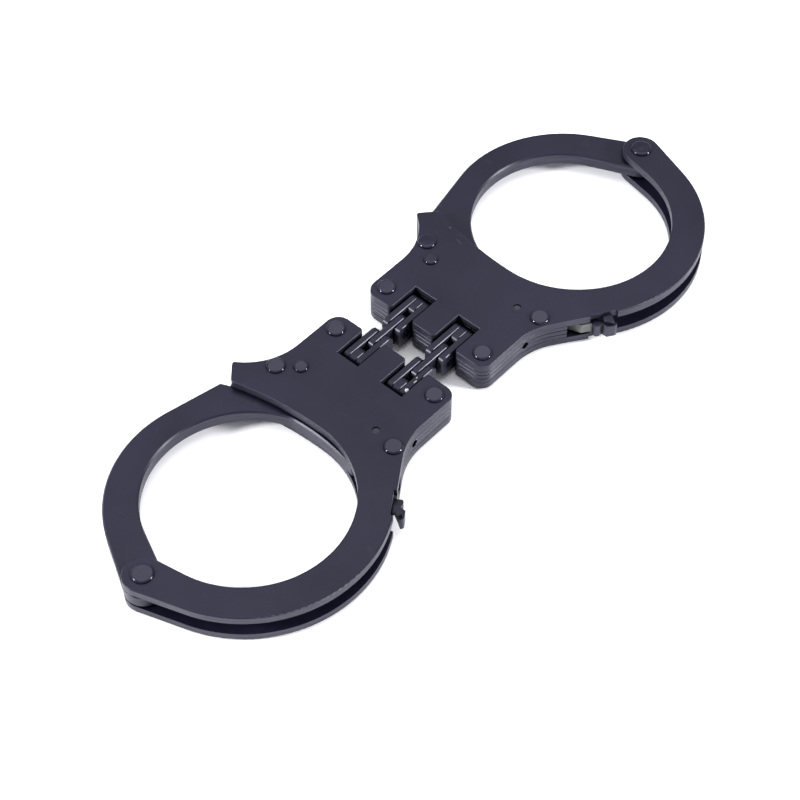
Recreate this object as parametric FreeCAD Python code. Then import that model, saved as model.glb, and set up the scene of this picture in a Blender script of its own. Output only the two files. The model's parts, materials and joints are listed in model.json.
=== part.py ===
import FreeCAD, Part
import math
import os

from FreeCAD import Vector

# Black steel hinged handcuffs lying flat, unfolded and locked.  Millimetres, +Z up.
# The two cuffs are mirror images about X = 0, joined by two hinges of flat links.
# Each cuff is drawn once, on the +X side, with Y = 0 on the line midway between the hinges;
# the finished solids are then moved so that the origin is under the middle of the whole part.

# ---- stack of one cuff, from the bottom up ----
HEAD_HEIGHT = 0.8                 # frame rivet heads, which the part lies on
CHEEK_THICK = 2.65                # outer side plates
SPACER_THICK = 1.7                # each of the three inner plates
STRAND_THICK = 4.5
PAWL_THICK = 3.4
CHEEK_LOW = HEAD_HEIGHT
GAP_LOW = CHEEK_LOW + CHEEK_THICK
GAP_HIGH = GAP_LOW + 3 * SPACER_THICK
CHEEK_HIGH = GAP_HIGH + CHEEK_THICK
MID_Z = (GAP_LOW + GAP_HIGH) / 2
EDGE_ROUND = 0.3                  # softened edges of the cheeks
STRAND_BEVEL = 0.45               # along the strand's smooth edges
SEAM_BREAK = 0.18                 # broken edges of the inner plates, seen as seams

# ---- outline of one cuff ----
LOBE_X = 5.9                      # hinge-side edge
TOP_Y = 23.3
BOTTOM_Y = -24.1
TOP_BEND = (34.2, TOP_Y)          # where the top edge turns up to the shoulder
SHOULDER_TIP = (40.6, 33.2)
SHOULDER_HEEL = (46.2, 28.2)
BOTTOM_BEND_X = 28.5              # where the bottom edge turns down to the arm
SLOPE_DEG = 34.5                  # fall of the bottom edge from there
OPENING = (72.2, -4.1)            # wrist opening of the cheeks
OPENING_R = 30.8
ARM = (72.0, -4.6)                # outer edge of the cheek arm
ARM_R = 40.7
PIVOT = (110.0, -1.8)             # strand pivot
PIVOT_END_R = 5.8

# ---- strand (the swinging bow with its ratchet) ----
RING_IN = (71.3, -2.5)
RING_IN_R = 29.9
RING_OUT = (72.9, -2.2)
RING_OUT_R = 38.7
RATCHET_IN_R = 67.6               # all ratchet radii are about the pivot
TOOTH_TIP_R = 71.8
TOOTH_ROOT_R = 70.8
TOOTH_PITCH_DEG = 2.5
TOOTH_COUNT = 15
FIRST_TOOTH_DEG = 154.5
STRAND_TIP_DEG = 194.5
PLAIN_EDGE = (71.5, 152.0)        # radius and angle where the plain outer edge ends
PLAIN_EDGE_STEP = 0.55            # step down from there to the land before the teeth
RATCHET_CLEAR_R = 72.4            # nothing fixed comes nearer the pivot between the cheeks

# ---- rivets and posts ----
FRAME_RIVETS = ((33.4, 22.3), (11.2, 19.0), (10.7, -19.4), (32.6, -23.2))
RIVET_R = 1.5
RIVET_HEAD_R = 2.95
HEAD_ROUND = 0.75
STRAND_RIVET_R = 2.5
STRAND_RIVET_HEAD_R = 3.3
PAWL_PIVOT = (28.7, 16.6)
PAWL_RIVET_HEAD_R = 2.3
PAWL_RIVET_HEAD_HEIGHT = 0.78
KEY_POST = (31.4, -15.5)
KEY_POST_R = 1.2
KEY_POST_RECESS = 0.35
KEYHOLE_R = 2.35
KEYHOLE_SLOT = (1.9, 5.0)         # width, reach from the post's axis
RUNNING_FIT = 0.05                # radial clearance of turning joints

# ---- pawl, release lever, double lock ----
PAWL_EYE_R = 4.2
PAWL_TEETH = 3
PAWL_FIRST_TOOTH = 10             # strand tooth that the first pawl tooth lies behind
TOOTH_CLEAR = 0.25                # between the sloping faces, towards the pivot
TOOTH_PLAY_DEG = 0.4              # between the steep faces, so the pawl can swing out
PAWL_ROOT_R = TOOTH_TIP_R + TOOTH_CLEAR
TAIL_FROM = 15.3                  # places along the sloping bottom edge
TAIL_TO = 18.6
LEVER_FROM = 18.8
LEVER_TO = 25.7
LEVER_OUT = (2.0, 2.9)            # how far its two tabs stand out of that edge
LEVER_VEE = (21.4, 2.2, 1.5)      # thumb notch: place, width, depth under the longer tab
LEVER_SHELF_FROM = 21.9           # the part that reaches up into the cheek's notch
LEVER_SHELF_Z = (8.4, 9.8)
LEVER_NOTCH = 0.9                 # relief in the cheeks' edge at the lever
BAR_X = (20.6, 22.9)
BAR_THICK = 2.6
PUSH_PIN_X = 24.8
PUSH_PIN_R = 1.15
PUSH_HOLE_R = 1.25
POCKET_X = 20.5                   # lock pocket in the inner plates
POCKET_BOTTOM_Y = -20.2

# ---- hinges ----
HINGE_Y = (8.55, -8.55)
NOTCH_WIDTH = 8.2
NOTCH_X = 17.4
FRAME_PIN_X = 12.0                # pin fixed in each cuff
LINK_PIN_X = 4.6                  # pins at the ends of the centre link
LINK_HALF_HEIGHT = 4.0
LINK_CORNER_R = 2.1
SIDE_LINK_X = (1.2, 16.4)         # ends of the outer plates
FILLER_X = (10.0, 16.4)           # ends of the short plate between them
FILLER_PLAY = 0.05                # on each face of that plate
CENTRE_LINK_X = (-8.0, 8.0)
LINK_THICK = 2.1
LINK_GAP = 2.7                    # between the two outer plates
PIN_R = 1.5
FRAME_PIN_LENGTH = 15.2           # one pin across each notch, let in at both ends

# the whole part's box is centred on the origin
FOOTPRINT_TOP = RING_OUT[1] + RING_OUT_R
FOOTPRINT_BOTTOM = ARM[1] - ARM_R
ORIGIN_Y = (FOOTPRINT_TOP + FOOTPRINT_BOTTOM) / 2


def polar(centre, radius, degrees):
    """The point at this radius and angle from a centre."""
    a = math.radians(degrees)
    return (centre[0] + radius * math.cos(a), centre[1] + radius * math.sin(a))


def angle_to(centre, point):
    """The direction from a centre to a point, in degrees."""
    return math.degrees(math.atan2(point[1] - centre[1], point[0] - centre[0]))


def tangent(c1, r1, c2, r2, side, crossed=False):
    """Where a line touches two circles; side +1 or -1 says which of the two lines."""
    span = math.dist(c1, c2)
    reach = r1 + r2 if crossed else r1 - r2
    normal = angle_to(c1, c2) + side * math.degrees(math.acos(reach / span))
    far = normal + 180 if crossed else normal
    return polar(c1, r1, normal), polar(c2, r2, far)


def on_slope(along, out=0.0):
    """A point by its place along the sloping bottom edge and its distance outside it."""
    a = math.radians(SLOPE_DEG)
    return (
        BOTTOM_BEND_X + along * math.cos(a) - out * math.sin(a),
        BOTTOM_Y - along * math.sin(a) - out * math.cos(a),
    )


def arc(centre, radius, start, end):
    """An arc step, from one angle to another in degrees."""
    return ("arc", polar(centre, radius, (start + end) / 2), polar(centre, radius, end))


def profile(start, steps):
    """A closed face from points and arc steps, in the XY plane."""
    edges = []
    here = start
    for step in list(steps) + [start]:
        bent = step[0] == "arc"
        there = step[2] if bent else step
        if math.dist(here, there) < 1e-6:
            continue
        a, b = Vector(*here, 0), Vector(*there, 0)
        if bent:
            edges.append(Part.Arc(a, Vector(*step[1], 0), b).toShape())
        else:
            edges.append(Part.makeLine(a, b))
        here = there
    return Part.Face(Part.Wire(edges))


def slab(face, low, high):
    """A face in the XY plane made solid between two heights."""
    solid = face.extrude(Vector(0, 0, high - low))
    solid.translate(Vector(0, 0, low))
    return solid


def disc(centre, radius, low, high):
    """An upright cylinder."""
    return Part.makeCylinder(radius, high - low, Vector(*centre, low))


def block(x, y, z):
    """A box from three ranges."""
    return Part.makeBox(x[1] - x[0], y[1] - y[0], z[1] - z[0], Vector(x[0], y[0], z[0]))


def round_upright(solid, corners):
    """Rounds the upright edges that stand at these (x, y, radius) corners."""
    for x, y, radius in corners:
        found = []
        for edge in solid.Edges:
            ends = [v.Point for v in edge.Vertexes]
            upright = len(ends) == 2 and math.dist(ends[0][:2], ends[1][:2]) < 1e-4
            if upright and math.dist(ends[0][:2], (x, y)) < 0.05:
                found.append(edge)
        solid = solid.makeFillet(radius, found)
    return solid


def level_edges(solid, height, least):
    """The level edges at one height, apart from round holes smaller than least."""
    found = []
    for edge in solid.Edges:
        box = edge.BoundBox
        level = abs(box.ZMin - height) < 1e-4 and abs(box.ZMax - height) < 1e-4
        hole = edge.isClosed() and box.DiagonalLength < 2 * math.sqrt(2) * least
        if level and not hole:
            found.append(edge)
    return found


def soften(solid, height, radius, least=3.5):
    """Rounds the level edges at one height, apart from small round holes."""
    return solid.makeFillet(radius, level_edges(solid, height, least))


def bevel(solid, height, size, least=3.5):
    """Breaks the level edges at one height, apart from small round holes."""
    return solid.makeChamfer(size, level_edges(solid, height, least))


# ---- cheeks and inner plates ----

def cuff_outline():
    """The outline shared by the two cheeks, before its corners are rounded."""
    throat = polar(OPENING, OPENING_R, 180)
    rise = SHOULDER_HEEL[1] - throat[1]
    set_back = SHOULDER_HEEL[0] - throat[0]
    throat_r = (rise ** 2 + set_back ** 2) / (2 * set_back)
    throat_centre = (throat[0] + throat_r, throat[1])
    inner_end, pivot_in = tangent(OPENING, OPENING_R, PIVOT, PIVOT_END_R, -1, crossed=True)
    outer_end, pivot_out = tangent(ARM, ARM_R, PIVOT, PIVOT_END_R, -1)
    arm_start = polar(ARM, ARM_R, -90 - SLOPE_DEG)
    bend = (BOTTOM_BEND_X, BOTTOM_Y)
    return profile((LOBE_X, TOP_Y), [
        TOP_BEND,
        SHOULDER_TIP,
        SHOULDER_HEEL,
        arc(throat_centre, throat_r, angle_to(throat_centre, SHOULDER_HEEL), 180),
        arc(OPENING, OPENING_R, 180, 360 + angle_to(OPENING, inner_end)),
        pivot_in,
        arc(PIVOT, PIVOT_END_R, angle_to(PIVOT, pivot_in), angle_to(PIVOT, pivot_out)),
        outer_end,
        arc(ARM, ARM_R, angle_to(ARM, outer_end), angle_to(ARM, arm_start)),
        bend,
        (LOBE_X, BOTTOM_Y),
    ])


def cuff_blank(low, high):
    """A plate with the cuff's rounded outline and its two hinge notches."""
    plate = slab(cuff_outline(), low, high)
    plate = round_upright(plate, [
        (LOBE_X, TOP_Y, 4.4),
        (*TOP_BEND, 20.5),
        (*SHOULDER_TIP, 0.9),
        (*SHOULDER_HEEL, 1.8),
        (BOTTOM_BEND_X, BOTTOM_Y, 22.0),
        (LOBE_X, BOTTOM_Y, 3.8),
    ])
    mouths = []
    for y in HINGE_Y:
        sides = (y - NOTCH_WIDTH / 2, y + NOTCH_WIDTH / 2)
        plate = plate.cut(block((0, NOTCH_X), sides, (low - 1, high + 1)))
        mouths += [(LOBE_X, side, 1.2) for side in sides]
    return round_upright(plate, mouths)


def rivet_holes(low, high):
    """The frame rivets' holes between two heights."""
    holes = [disc(p, RIVET_R, low, high) for p in FRAME_RIVETS]
    holes.append(disc(PAWL_PIVOT, RIVET_R, low, high))
    return holes


def lever_relief(low, high):
    """The shallow notch in a cheek's edge where the release lever comes out."""
    face = profile(on_slope(LEVER_FROM - 1.0, -LEVER_NOTCH), [
        on_slope(LEVER_TO + 0.6, -LEVER_NOTCH),
        on_slope(LEVER_TO + 1.5, 3.0),
        on_slope(LEVER_FROM - 1.0, 3.0),
    ])
    return slab(face, low, high)


def cheek(low, high):
    """One side plate with its rivet holes."""
    plate = cuff_blank(low, high).cut(lever_relief(low - 1, high + 1))
    holes = rivet_holes(low - 1, high + 1)
    holes.append(disc(PIVOT, STRAND_RIVET_R, low - 1, high + 1))
    return plate.cut(holes)


def cheek_top():
    """The upper cheek, with the key post's riveting hole."""
    plate = cheek(GAP_HIGH, CHEEK_HIGH)
    plate = soften(plate, CHEEK_HIGH, EDGE_ROUND)
    return plate.cut(disc(KEY_POST, KEY_POST_R, GAP_HIGH - 1, CHEEK_HIGH + 1))


def cheek_bottom():
    """The lower cheek, with the keyhole round the free end of the key post."""
    plate = cheek(CHEEK_LOW, GAP_LOW)
    plate = soften(plate, CHEEK_LOW, EDGE_ROUND)
    width, reach = KEYHOLE_SLOT
    slot_x = (KEY_POST[0] - width / 2, KEY_POST[0] + width / 2)
    slot_y = (KEY_POST[1], KEY_POST[1] + reach)
    hole = disc(KEY_POST, KEYHOLE_R, CHEEK_LOW - 1, GAP_LOW + 1)
    slot = block(slot_x, slot_y, (CHEEK_LOW - 1, GAP_LOW + 1))
    return plate.cut(hole.fuse(slot))


def lock_pocket(low, high):
    """The space cut out of the inner plates for the pawl, double lock and lever."""
    eye_left = (PAWL_PIVOT[0] - PAWL_EYE_R - 0.4, PAWL_PIVOT[1])
    eye_right = (PAWL_PIVOT[0] + PAWL_EYE_R + 0.4, PAWL_PIVOT[1])
    beyond = PIVOT[0] + 20
    face = profile((POCKET_X, 10.0), [
        eye_left,
        eye_right,
        (37.2, 5.2),
        (beyond, 5.2),
        (beyond, -60.0),
        (52.2, -60.0),
        (34.8, -25.0),
        (34.6, POCKET_BOTTOM_Y),
        (POCKET_X, POCKET_BOTTOM_Y),
    ])
    eye = disc(PAWL_PIVOT, PAWL_EYE_R + 0.4, low, high)
    return slab(face, low, high).fuse(eye)


def spacer(level, piece=0):
    """An inner plate; level 0 is the lowest.  The push pin's hole parts the middle one in two."""
    low = GAP_LOW + level * SPACER_THICK
    high = low + SPACER_THICK
    plate = cuff_blank(low, high)
    plate = plate.cut(disc(PIVOT, RATCHET_CLEAR_R, low - 1, high + 1))
    plate = plate.cut(lock_pocket(low - 1, high + 1))
    plate = max(plate.Solids, key=lambda solid: solid.Volume)
    plate = bevel(plate, high, SEAM_BREAK)
    plate = bevel(plate, low, SEAM_BREAK)
    plate = plate.cut(rivet_holes(low - 1, high + 1))
    push_hole = Part.makeCylinder(
        PUSH_HOLE_R, 6.0, Vector(PUSH_PIN_X, BOTTOM_Y - 1, MID_Z), Vector(0, 1, 0))
    plate = plate.cut(pins_across(FRAME_PIN_X, FRAME_PIN_LENGTH)).cut(push_hole)
    return sorted(plate.Solids, key=lambda solid: -solid.Volume)[piece]


# ---- strand ----

def tooth_edge_deg(index):
    """The angle of the steep face of one strand tooth."""
    return FIRST_TOOTH_DEG + index * TOOTH_PITCH_DEG


def strand():
    """The swinging bow: pivot end, ring, and ratchet teeth on its outer edge."""
    teeth = []
    for index in range(TOOTH_COUNT):
        steep = tooth_edge_deg(index)
        teeth.append(polar(PIVOT, TOOTH_ROOT_R, steep))
        teeth.append(polar(PIVOT, TOOTH_TIP_R, steep))
    plain_r, plain_deg = PLAIN_EDGE
    step_foot = polar(PIVOT, plain_r - PLAIN_EDGE_STEP, plain_deg)
    last = polar(PIVOT, TOOTH_ROOT_R, tooth_edge_deg(TOOTH_COUNT))
    tip_out = polar(PIVOT, TOOTH_ROOT_R - 1.0, STRAND_TIP_DEG)
    tip_in = polar(PIVOT, RATCHET_IN_R, STRAND_TIP_DEG - 0.7)

    # where the ratchet's inner arc meets the ring's inner arc, on the shoulder side
    span = math.dist(PIVOT, RING_IN)
    along = (RATCHET_IN_R ** 2 - RING_IN_R ** 2 + span ** 2) / (2 * span)
    turn = math.degrees(math.acos(along / RATCHET_IN_R))
    meet_deg = angle_to(PIVOT, RING_IN) % 360 - turn
    meet = polar(PIVOT, RATCHET_IN_R, meet_deg)

    ring_in_end, pivot_in = tangent(RING_IN, RING_IN_R, PIVOT, PIVOT_END_R, 1, crossed=True)
    ring_out_end, pivot_out = tangent(RING_OUT, RING_OUT_R, PIVOT, PIVOT_END_R, 1)
    first = polar(PIVOT, plain_r, plain_deg)
    ring_out_start = tangent(first, 0.0, RING_OUT, RING_OUT_R, 1)[1]
    face = profile(first, [
        ring_out_start,
        arc(RING_OUT, RING_OUT_R,
            angle_to(RING_OUT, ring_out_start), angle_to(RING_OUT, ring_out_end)),
        pivot_out,
        arc(PIVOT, PIVOT_END_R,
            angle_to(PIVOT, pivot_out), angle_to(PIVOT, pivot_in)),
        ring_in_end,
        arc(RING_IN, RING_IN_R, angle_to(RING_IN, ring_in_end), angle_to(RING_IN, meet)),
        arc(PIVOT, RATCHET_IN_R, meet_deg, STRAND_TIP_DEG - 0.7),
        tip_out,
        last,
        *reversed(teeth),
        step_foot,
    ])
    low, high = MID_Z - STRAND_THICK / 2, MID_Z + STRAND_THICK / 2
    bow = slab(face, low, high)
    bow = round_upright(bow, [(*tip_in, 1.0), (*tip_out, 1.0), (*meet, 8.0)])
    smooth = [e for e in level_edges(bow, high, 0) + level_edges(bow, low, 0) if e.Length > 4]
    bow = bow.makeChamfer(STRAND_BEVEL, smooth)
    return bow.cut(disc(PIVOT, STRAND_RIVET_R + RUNNING_FIT, low - 1, high + 1))


# ---- rivets ----

def rivet(centre, radius, head_radius, head_height, low=CHEEK_LOW, high=CHEEK_HIGH):
    """A through rivet with a low flat head on each cheek."""
    shank = disc(centre, radius, low, high)
    top = disc(centre, head_radius, high, high + head_height)
    bottom = disc(centre, head_radius, low - head_height, low)
    top = soften(top, high + head_height, HEAD_ROUND, least=0)
    bottom = soften(bottom, low - head_height, HEAD_ROUND, least=0)
    return shank.fuse([top, bottom]).removeSplitter()


def frame_rivets():
    """The four rivets that hold the cheeks and inner plates together."""
    return Part.makeCompound(
        [rivet(p, RIVET_R, RIVET_HEAD_R, HEAD_HEIGHT) for p in FRAME_RIVETS])


def strand_pivot_rivet():
    """The larger rivet that the strand turns on."""
    return rivet(PIVOT, STRAND_RIVET_R, STRAND_RIVET_HEAD_R, HEAD_HEIGHT)


def pawl_pivot_rivet():
    """The small rivet that the pawl turns on."""
    return rivet(PAWL_PIVOT, RIVET_R, PAWL_RIVET_HEAD_R, PAWL_RIVET_HEAD_HEIGHT)


def key_post():
    """The post that the key turns round, riveted into the upper cheek."""
    post = disc(KEY_POST, KEY_POST_R, CHEEK_LOW + 0.2, CHEEK_HIGH - KEY_POST_RECESS)
    return soften(post, CHEEK_LOW + 0.2, 0.3, least=0)


# ---- lock works ----

def pawl():
    """The toothed lock bar, with its key lug and the tail that carries the lever."""
    low, high = MID_Z - PAWL_THICK / 2, MID_Z + PAWL_THICK / 2
    first = tooth_edge_deg(PAWL_FIRST_TOOTH) - TOOTH_PLAY_DEG
    teeth = [polar(PIVOT, PAWL_ROOT_R, first)]
    for index in range(1, PAWL_TEETH + 1):
        steep = first + index * TOOTH_PITCH_DEG
        teeth.append(polar(PIVOT, TOOTH_ROOT_R + TOOTH_CLEAR, steep))
        teeth.append(polar(PIVOT, PAWL_ROOT_R, steep))
    eye_left = polar(PAWL_PIVOT, PAWL_EYE_R, 180)
    eye_right = polar(PAWL_PIVOT, PAWL_EYE_R, 0)
    face = profile(eye_left, [
        eye_right,
        *teeth,
        (38.9, -16.5),
        (40.4, -21.5),
        (42.1, -28.0),
        on_slope(TAIL_TO),
        on_slope(TAIL_FROM),
        (39.3, -27.5),
        (37.8, -21.5),
        (35.3, -17.5),
        (35.3, -10.2),
        (27.6, -10.2),
        (27.6, -12.6),
        (25.2, -12.6),
    ])
    eye = disc(PAWL_PIVOT, PAWL_EYE_R, low, high)
    hole = disc(PAWL_PIVOT, RIVET_R + RUNNING_FIT, low - 1, high + 1)
    bar = slab(face, low, high).fuse([eye, tail_tenon()]).removeSplitter()
    bar = round_upright(bar, [(35.3, -10.2, 0.8), (27.6, -12.6, 0.7), (25.2, -12.6, 0.7)])
    return bar.cut(hole)


def tail_tenon():
    """The tongue on the pawl's tail that the lever is pressed on."""
    start, end = TAIL_TO - 0.8, LEVER_FROM + 1.0
    face = profile(on_slope(start, -0.9), [
        on_slope(end, -0.9),
        on_slope(end, -0.1),
        on_slope(start, -0.1),
    ])
    return slab(face, MID_Z - 0.8, MID_Z + 0.8)


def release_lever():
    """The two-tabbed thumb lever that stands out of the edge and lifts the pawl."""
    low, high = MID_Z - STRAND_THICK / 2, MID_Z + STRAND_THICK / 2
    place, width, depth = LEVER_VEE
    short, long = LEVER_OUT
    face = profile(on_slope(LEVER_FROM, -1.6), [
        on_slope(LEVER_TO, -0.4),
        on_slope(LEVER_TO, long),
        on_slope(place + width / 2, long),
        on_slope(place, long - depth),
        on_slope(place - width / 2, short),
        on_slope(LEVER_FROM, short),
    ])
    body = slab(face, low, high)
    body = round_upright(body, [
        (*on_slope(LEVER_TO, long), 1.0),
        (*on_slope(LEVER_FROM, short), 0.8),
    ])
    body = body.cut(tail_tenon())
    body = body.cut(disc(PIVOT, RATCHET_CLEAR_R - 0.1, low - 1, high + 1))
    shelf_low, shelf_high = LEVER_SHELF_Z
    shelf_to = LEVER_TO - 1.1
    shelf = profile(on_slope(LEVER_SHELF_FROM, -0.5), [
        on_slope(shelf_to, -0.5),
        on_slope(shelf_to, long - 0.5),
        on_slope(LEVER_SHELF_FROM, short - 1.0),
    ])
    neck = profile(on_slope(LEVER_SHELF_FROM, 0.9), [
        on_slope(shelf_to, 1.6),
        on_slope(shelf_to, long - 0.5),
        on_slope(LEVER_SHELF_FROM, short - 1.0),
    ])
    return body.fuse([slab(shelf, shelf_low, shelf_high), slab(neck, high, shelf_high)])


def pawl_spring():
    """The bowed leaf that presses the pawl into the ratchet."""
    thick = 0.45
    wall = POCKET_X + 0.25
    outer = [(wall, 9.0), (wall + 0.75, 1.5), (24.85, -4.0)]
    inner = [(wall + thick, 9.0), (wall + 0.75 + thick, 1.7), (24.85, -3.2)]
    face = profile(outer[0], [
        ("arc", outer[1], outer[2]),
        inner[2],
        ("arc", inner[1], inner[0]),
    ])
    return slab(face, MID_Z - 1.4, MID_Z + 1.4)


def double_lock_bar():
    """The sliding bar whose lug moves behind the pawl's lug."""
    low, high = MID_Z - BAR_THICK / 2, MID_Z + BAR_THICK / 2
    face = profile((BAR_X[0], -19.0), [
        (26.2, -19.0),
        (26.2, -17.2),
        (BAR_X[1], -17.2),
        (BAR_X[1], -16.5),
        (25.0, -16.5),
        (25.0, -12.9),
        (BAR_X[1], -12.9),
        (BAR_X[1], -8.8),
        (BAR_X[0], -8.8),
    ])
    bar = slab(face, low, high)
    return round_upright(bar, [(25.0, -12.9, 0.4), (26.2, -17.2, 0.4)])


def double_lock_push_pin():
    """The pin in the bottom edge that the key's peg pushes."""
    start = BOTTOM_Y + 0.7
    length = -19.0 - start
    return Part.makeCylinder(
        PUSH_PIN_R, length, Vector(PUSH_PIN_X, start, MID_Z), Vector(0, 1, 0))


# ---- hinges ----

def link(ends, y_low, thick, bores):
    """A flat bar standing on edge, with rounded corners and a bore of each (x, radius)."""
    along = Vector(0, 1, 0)
    low, high = MID_Z - LINK_HALF_HEIGHT, MID_Z + LINK_HALF_HEIGHT
    bar = block(ends, (y_low, y_low + thick), (low, high))
    corners = [e for e in bar.Edges if e.BoundBox.YLength > thick / 2]
    bar = bar.makeFillet(LINK_CORNER_R, corners)
    rims = [e for e in bar.Edges if e.BoundBox.YLength < 1e-6]
    bar = bar.makeChamfer(0.2, rims)
    for x, radius in bores:
        start = Vector(x, y_low - 1, MID_Z)
        bar = bar.cut(Part.makeCylinder(radius, thick + 2, start, along))
    return bar


def hinge_parts(y, name):
    """The links of one hinge, by node name."""
    loose = PIN_R + RUNNING_FIT
    side_low = y - LINK_GAP / 2 - LINK_THICK
    side_high = y + LINK_GAP / 2
    parts = {}
    for side, sign in (("left", -1), ("right", 1)):
        ends = sorted(sign * x for x in SIDE_LINK_X)
        filler = sorted(sign * x for x in FILLER_X)
        turning = (sign * FRAME_PIN_X, loose)
        fixed = (sign * LINK_PIN_X, PIN_R)
        parts[f"{name}_{side}_rear_link"] = link(
            ends, side_high, LINK_THICK, (turning, fixed))
        parts[f"{name}_{side}_front_link"] = link(
            ends, side_low, LINK_THICK, (turning, fixed))
        parts[f"{name}_{side}_filler_plate"] = link(
            filler, y - LINK_GAP / 2 + FILLER_PLAY, LINK_GAP - 2 * FILLER_PLAY, (turning,))
    parts[f"{name}_centre_link"] = link(
        CENTRE_LINK_X, y - LINK_THICK / 2, LINK_THICK,
        ((-LINK_PIN_X, loose), (LINK_PIN_X, loose)))
    return parts


def pins_across(x, length):
    """Two equal pins along Y, one in the middle of each hinge."""
    pins = []
    for y in HINGE_Y:
        start = Vector(x, y - length / 2, MID_Z)
        pins.append(Part.makeCylinder(PIN_R, length, start, Vector(0, 1, 0)))
    return Part.makeCompound(pins)


CUFF_PARTS = {
    "cheek_top": cheek_top,
    "cheek_bottom": cheek_bottom,
    "spacer_lower": lambda: spacer(0),
    "spacer_middle": lambda: spacer(1),
    "spacer_middle_tail": lambda: spacer(1, piece=1),
    "spacer_upper": lambda: spacer(2),
    "strand": strand,
    "strand_pivot_rivet": strand_pivot_rivet,
    "frame_rivets": frame_rivets,
    "pawl_pivot_rivet": pawl_pivot_rivet,
    "key_post": key_post,
    "pawl": pawl,
    "release_lever": release_lever,
    "pawl_spring": pawl_spring,
    "double_lock_bar": double_lock_bar,
    "double_lock_push_pin": double_lock_push_pin,
}


def build():
    """Every sub-part of the handcuffs, by node name."""
    parts = {}
    for name, make in CUFF_PARTS.items():
        right = make()
        parts[f"right_{name}"] = right
        parts[f"left_{name}"] = right.mirror(Vector(0, 0, 0), Vector(1, 0, 0))
    for y, name in zip(HINGE_Y, ("rear_hinge", "front_hinge")):
        parts.update(hinge_parts(y, name))
    for side, sign in (("left", -1), ("right", 1)):
        parts[f"{side}_frame_pins"] = pins_across(sign * FRAME_PIN_X, FRAME_PIN_LENGTH)
        parts[f"{side}_link_pins"] = pins_across(
            sign * LINK_PIN_X, LINK_GAP + 2 * LINK_THICK)
    return parts


def main():
    os.makedirs("parts", exist_ok=True)
    for name, shape in build().items():
        shape.translate(Vector(0, -ORIGIN_Y, 0))
        if not shape.isValid():
            print("not valid:", name)
        shape.exportStep(f"parts/{name}.step")
        box = shape.BoundBox
        print(f"{name}: {len(shape.Solids)} solid(s), {shape.Volume:.1f} mm3, "
              f"x {box.XMin:.1f}..{box.XMax:.1f} y {box.YMin:.1f}..{box.YMax:.1f} "
              f"z {box.ZMin:.1f}..{box.ZMax:.1f}")


main()
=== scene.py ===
import json
import math

import bpy
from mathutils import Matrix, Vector


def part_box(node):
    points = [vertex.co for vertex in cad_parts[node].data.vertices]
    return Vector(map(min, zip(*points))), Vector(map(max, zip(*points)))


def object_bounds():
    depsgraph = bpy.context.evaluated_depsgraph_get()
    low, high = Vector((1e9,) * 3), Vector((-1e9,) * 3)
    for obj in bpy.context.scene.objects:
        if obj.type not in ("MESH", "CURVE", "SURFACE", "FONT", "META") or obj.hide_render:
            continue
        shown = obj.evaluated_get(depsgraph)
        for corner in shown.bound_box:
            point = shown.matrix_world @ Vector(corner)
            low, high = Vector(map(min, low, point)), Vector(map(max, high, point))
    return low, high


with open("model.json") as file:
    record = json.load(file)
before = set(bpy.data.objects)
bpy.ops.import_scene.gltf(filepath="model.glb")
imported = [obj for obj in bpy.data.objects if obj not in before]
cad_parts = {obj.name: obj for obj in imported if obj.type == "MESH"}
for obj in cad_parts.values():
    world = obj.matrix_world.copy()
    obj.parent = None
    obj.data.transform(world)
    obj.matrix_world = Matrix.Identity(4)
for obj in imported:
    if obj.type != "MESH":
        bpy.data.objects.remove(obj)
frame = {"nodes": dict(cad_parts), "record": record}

CAD_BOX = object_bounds()
NODES = frame["nodes"]


# ---- material building ----

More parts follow.
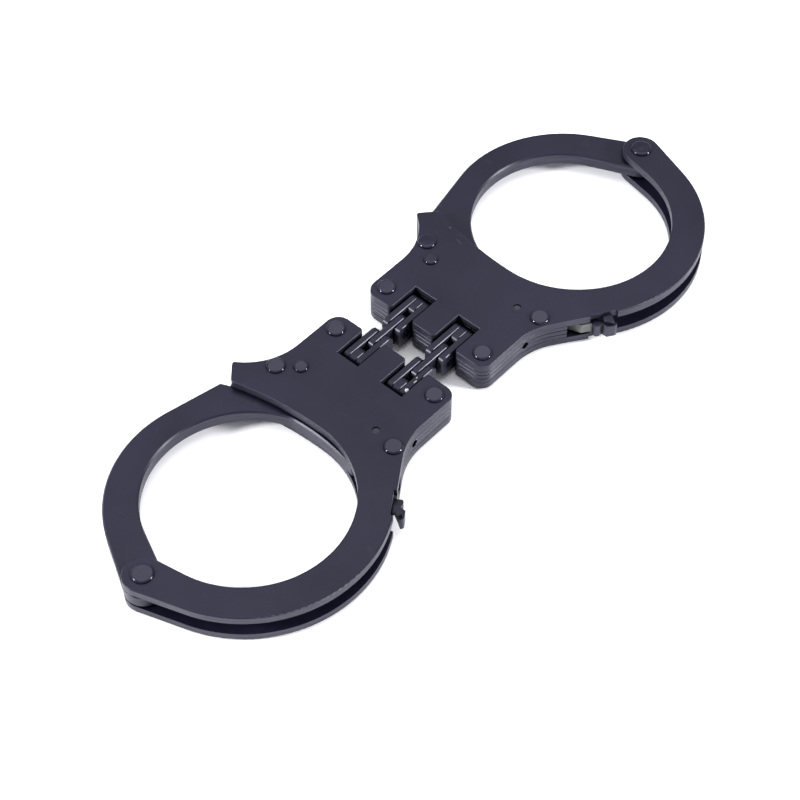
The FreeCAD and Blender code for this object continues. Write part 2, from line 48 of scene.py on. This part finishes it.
class Surface:
    """A procedural material made of a few named layers."""

    def __init__(self, name):
        self.material = bpy.data.materials.new(name)
        self.material.use_nodes = True
        self.tree = self.material.node_tree
        self.shader = self.tree.nodes["Principled BSDF"]
        self.place = self.node("ShaderNodeTexCoord").outputs["Object"]
        self.normal = None

    def node(self, kind, **settings):
        made = self.tree.nodes.new(kind)
        for key, value in settings.items():
            setattr(made, key, value)
        return made

    def link(self, source, target):
        self.tree.links.new(source, target)

    def set(self, **values):
        """Sets the shader's own sockets; underscores stand for spaces."""
        for key, value in values.items():
            self.shader.inputs[key.replace("_", " ")].default_value = value

    def maths(self, operation, a, b=None, c=None, clamp=False):
        made = self.node("ShaderNodeMath", operation=operation, use_clamp=clamp)
        for socket, value in zip(made.inputs, (a, b, c)):
            if value is None:
                continue
            if isinstance(value, (int, float)):
                socket.default_value = value
            else:
                self.link(value, socket)
        return made.outputs[0]

    def noise(self, size, detail=3.0, rough=0.55, stretch=(1, 1, 1)):
        """A noise whose blobs are about this many metres across."""
        mapping = self.node("ShaderNodeMapping")
        mapping.inputs["Scale"].default_value = [1 / (size * s) for s in stretch]
        self.link(self.place, mapping.inputs["Vector"])
        made = self.node("ShaderNodeTexNoise")
        made.inputs["Scale"].default_value = 1.0
        made.inputs["Detail"].default_value = detail
        made.inputs["Roughness"].default_value = rough
        self.link(mapping.outputs[0], made.inputs["Vector"])
        return made.outputs["Fac"]

    def spread(self, value, low, high, out_low=0.0, out_high=1.0):
        """Maps low..high to out_low..out_high, without going beyond."""
        made = self.node("ShaderNodeMapRange")
        self.link(value, made.inputs["Value"])
        for key, number in (("From Min", low), ("From Max", high),
                            ("To Min", out_low), ("To Max", out_high)):
            made.inputs[key].default_value = number
        return made.outputs["Result"]

    def blend(self, factor, a, b):
        """A colour between a and b, by a factor socket; a and b are colours or sockets."""
        made = self.node("ShaderNodeMix", data_type="RGBA")
        self.link(factor, made.inputs[0])
        for socket, value in ((made.inputs[6], a), (made.inputs[7], b)):
            if isinstance(value, tuple):
                socket.default_value = (*value, 1.0)
            else:
                self.link(value, socket)
        return made.outputs[2]

    def edges(self, radius, sharp):
        """1 on sharp edges and 0 on flats, from how far a rounded normal leans away."""
        bevel = self.node("ShaderNodeBevel", samples=6)
        bevel.inputs["Radius"].default_value = radius
        geometry = self.node("ShaderNodeNewGeometry")
        dot = self.node("ShaderNodeVectorMath", operation="DOT_PRODUCT")
        self.link(bevel.outputs[0], dot.inputs[0])
        self.link(geometry.outputs["Normal"], dot.inputs[1])
        lean = self.maths("SUBTRACT", 1.0, dot.outputs["Value"])
        return self.spread(lean, sharp * 0.2, sharp)

    def walls(self):
        """1 on upright faces and 0 on level ones."""
        geometry = self.node("ShaderNodeNewGeometry")
        parts = self.node("ShaderNodeSeparateXYZ")
        self.link(geometry.outputs["Normal"], parts.inputs[0])
        level = self.maths("ABSOLUTE", parts.outputs["Z"])
        return self.spread(level, 0.35, 0.75, 1.0, 0.0)

    def patch(self, centre, half_sizes, turn=0.0):
        """1 inside a ragged blob round a point, 0 outside; turn is in degrees about Z."""
        mapping = self.node("ShaderNodeMapping", vector_type="TEXTURE")
        mapping.inputs["Location"].default_value = centre
        mapping.inputs["Rotation"].default_value = (0.0, 0.0, math.radians(turn))
        mapping.inputs["Scale"].default_value = half_sizes
        self.link(self.place, mapping.inputs["Vector"])
        length = self.node("ShaderNodeVectorMath", operation="LENGTH")
        self.link(mapping.outputs[0], length.inputs[0])
        wander = self.spread(self.noise(0.0006, detail=4.0), 0.3, 0.7, -0.4, 0.4)
        return self.spread(self.maths("ADD", length.outputs["Value"], wander), 0.85, 1.0, 1.0, 0.0)

    def bump(self, height, distance, strength=1.0):
        """Adds a bump of this many metres on top of the earlier ones."""
        made = self.node("ShaderNodeBump")
        made.inputs["Strength"].default_value = strength
        made.inputs["Distance"].default_value = distance
        self.link(height, made.inputs["Height"])
        if self.normal is not None:
            self.link(self.normal, made.inputs["Normal"])
        self.normal = made.outputs[0]

    def finish(self, colour, roughness, metallic=None):
        self.link(colour, self.shader.inputs["Base Color"])
        self.link(roughness, self.shader.inputs["Roughness"])
        if metallic is not None:
            self.link(metallic, self.shader.inputs["Metallic"])
        if self.normal is not None:
            self.link(self.normal, self.shader.inputs["Normal"])
        return self.material


BLACK = (0.0060, 0.0060, 0.015)
DEEP = (0.0025, 0.0025, 0.009)
DUSTY = (0.022, 0.022, 0.034)
SHEARED = (0.040, 0.040, 0.058)
STEEL = (0.46, 0.46, 0.50)
# SHADE is the colour of the painted shade in crevices and between parts
SHADE = (0.0008, 0.0008, 0.0015)
CHIP = (0.55, 0.55, 0.53)
COOL_SHEEN = (0.86, 0.85, 1.0, 1.0)
BARE_PALE = (0.13, 0.13, 0.13)
BARE_STAIN = (0.08, 0.08, 0.075)
RUB_RADIUS = 0.00035              # how far from an edge the coating is rubbed
# the reach below sets where painted shade falls: places this near another face are darkened
PAINTED_SHADE_REACH = 0.0025            # how near another face has to be to darken a place


def coated(name, roughness, sheared, wear, shine=0.27, chips=()):
    """Black coating over steel plate, with sheared side walls, rubbed edges, chips and painted
    shade in crevices.
    """
    s = Surface(name)
    broad = s.noise(0.028, detail=2.0)
    cloud = s.noise(0.006, detail=4.0)
    grain = s.noise(0.00022, detail=2.0)
    colour = s.blend(s.spread(broad, 0.3, 0.7), DEEP, BLACK)
    colour = s.blend(s.spread(cloud, 0.62, 0.80, 0.0, 0.35), colour, DUSTY)
    rough = s.spread(cloud, 0.3, 0.7, roughness - 0.04, roughness + 0.05)
    s.bump(grain, 0.000004, 0.6)
    s.bump(cloud, 0.00003, 0.25)
    if sheared:
        walls = s.walls()
        tears = s.noise(0.00030, detail=3.0, stretch=(30, 30, 1))
        s.bump(s.maths("MULTIPLY", tears, walls), 0.00006, 0.5)
        pale = s.maths("MULTIPLY", walls, s.spread(tears, 0.35, 0.7, 0.15, 0.8))
        colour = s.blend(pale, colour, SHEARED)
    # painted shade: places near other faces, such as crevices, seams and gaps between parts, are
    # darkened towards SHADE, and their reflection is weakened too
    painted_shade_ao = s.node("ShaderNodeAmbientOcclusion", samples=8)
    painted_shade_ao.inputs["Distance"].default_value = PAINTED_SHADE_REACH
    shade = s.spread(painted_shade_ao.outputs["AO"], 0.35, 0.85)
    colour = s.blend(shade, SHADE, colour)
    s.link(s.spread(shade, 0.0, 1.0, 0.2 * shine, shine), s.shader.inputs["Specular IOR Level"])
    patches = s.spread(s.noise(0.0035, detail=6.0, rough=0.7), 0.60 - wear, 0.78 - wear)
    rub = s.maths("MULTIPLY", s.edges(RUB_RADIUS, 0.25), patches)
    rubbed = s.maths("MULTIPLY", rub, 0.8)
    colour = s.blend(rubbed, colour, STEEL)
    for centre, half_sizes, turn, strength in chips:
        chip = s.maths("MULTIPLY", s.patch(centre, half_sizes, turn), strength)
        colour = s.blend(chip, colour, CHIP)
    s.set(Specular_Tint=COOL_SHEEN)
    return s.finish(colour, rough, rubbed)


def bare(name, roughness, stretch):
    """Bare steel with fine marks along one direction."""
    s = Surface(name)
    marks = s.noise(0.0003, detail=4.0, stretch=stretch)
    stain = s.noise(0.003, detail=3.0)
    colour = s.blend(s.spread(stain, 0.35, 0.7), BARE_PALE, BARE_STAIN)
    rough = s.spread(marks, 0.3, 0.7, roughness - 0.06, roughness + 0.1)
    s.bump(marks, 0.00001, 0.5)
    s.set(Metallic=0.5, Specular_IOR_Level=0.3)
    return s.finish(colour, rough)


def spot(node, x, y, z):
    """A point in a node's box, by its share of the way along each axis."""
    low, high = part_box(node)
    return tuple(a + (b - a) * share for a, b, share in zip(low, high, (x, y, z)))


# each chip is its centre, its half sizes, its turn in degrees and how strong it is
LINK_CHIPS = (
    (spot("front_hinge_left_front_link", 0.16, 0.15, 1.0), (0.0008, 0.0006, 0.0010), 20, 0.8),
    (spot("front_hinge_left_front_link", 0.42, 0.30, 1.0), (0.0006, 0.0002, 0.0003), 0, 0.5),
    (spot("front_hinge_left_front_link", 0.52, 0.65, 1.0), (0.0005, 0.00018, 0.0003), 15, 0.4),
)
PLATE_CHIPS = (
    (spot("right_cheek_top", 0.312, 0.775, 1.0), (0.0016, 0.00010, 0.0004), -104, 0.06),
    (spot("right_cheek_top", 0.335, 0.850, 1.0), (0.0002, 0.00018, 0.0003), 0, 0.15),
)

MATERIALS = {
    "black_steel": coated("black_steel", 0.36, True, 0.02, chips=PLATE_CHIPS),
    "inner_plate_steel": coated("inner_plate_steel", 0.40, True, 0.04),
    "link_steel": coated("link_steel", 0.34, True, 0.00, chips=LINK_CHIPS),
    "black_rivet": coated("black_rivet", 0.10, False, 0.00, shine=0.36),
    "bare_steel": bare("bare_steel", 0.35, (1, 1, 8)),
    "spring_steel": bare("spring_steel", 0.30, (1, 8, 1)),
}


def dress_frame():
    """Gives every CAD node the material of its slot."""
    for entry in frame["record"]["subparts"]:
        mesh = NODES[entry["node"]].data
        mesh.materials.clear()
        mesh.materials.append(MATERIALS[entry["material_slot"]])


# ---- surroundings ----

def floor_material():
    s = Surface("floor")
    s.set(Specular_IOR_Level=0.2)
    tone = s.spread(s.noise(0.2), 0.3, 0.7)
    colour = s.blend(tone, (0.90, 0.90, 0.92), (0.92, 0.92, 0.94))
    return s.finish(colour, s.spread(tone, 0.0, 1.0, 0.6, 0.65))


def make_floor(height):
    """A wide level floor under the object."""
    half = 6.0
    mesh = bpy.data.meshes.new("floor")
    rim = [(x * half, y * half, height) for x, y in ((-1, -1), (1, -1), (1, 1), (-1, 1))]
    mesh.from_pydata(rim, [], [(0, 1, 2, 3)])
    mesh.materials.append(floor_material())
    floor = bpy.data.objects.new("floor", mesh)
    bpy.context.collection.objects.link(floor)


def softbox(name, place, target, width, height, power, colour=(1, 1, 1)):
    data = bpy.data.lights.new(name, "AREA")
    data.shape = "RECTANGLE"
    data.size = width
    data.size_y = height
    data.energy = power
    data.color = colour
    lamp = bpy.data.objects.new(name, data)
    lamp.location = place
    lamp.rotation_euler = (Vector(target) - Vector(place)).to_track_quat("-Z", "Y").to_euler()
    bpy.context.collection.objects.link(lamp)


GLINT_LIGHTS = (
    ("left_glint", (-1.05, 0.60, 0.64)),
    ("right_glint", (0.66, -1.08, 0.60)),
)
GLINT_SIZE = (0.26, 0.22)
GLINT_POWER = 26.0


def light_studio():
    world = bpy.data.worlds.new("studio")
    world.use_nodes = True
    sky = world.node_tree.nodes["Background"]
    sky.inputs["Color"].default_value = (0.92, 0.93, 1.0, 1.0)
    sky.inputs["Strength"].default_value = 0.75
    bpy.context.scene.world = world
    softbox("overhead", (0.1, 0.2, 1.3), (0, 0, 0), 1.6, 1.6, 14.0)
    for name, place in GLINT_LIGHTS:
        softbox(name, place, (0, 0, 0), *GLINT_SIZE, GLINT_POWER)


CAMERA_LENS = 90.8
CAMERA_PLACE = (-0.2912, -0.2531, 0.4634)
CAMERA_TILT_DEG = 38.98
CAMERA_TURN_DEG = -48.13


def place_camera():
    """Looks down at the object from the near left."""
    data = bpy.data.cameras.new("camera")
    data.sensor_width = 36.0
    data.lens = CAMERA_LENS
    data.clip_start = 0.01
    data.clip_end = 50.0
    camera = bpy.data.objects.new("camera", data)
    camera.location = CAMERA_PLACE
    camera.rotation_euler = (math.radians(CAMERA_TILT_DEG), 0.0, math.radians(CAMERA_TURN_DEG))
    bpy.context.collection.objects.link(camera)
    bpy.context.scene.camera = camera


dress_frame()
make_floor(CAD_BOX[0].z)
light_studio()
place_camera()
bpy.context.scene.view_settings.view_transform = "Standard"
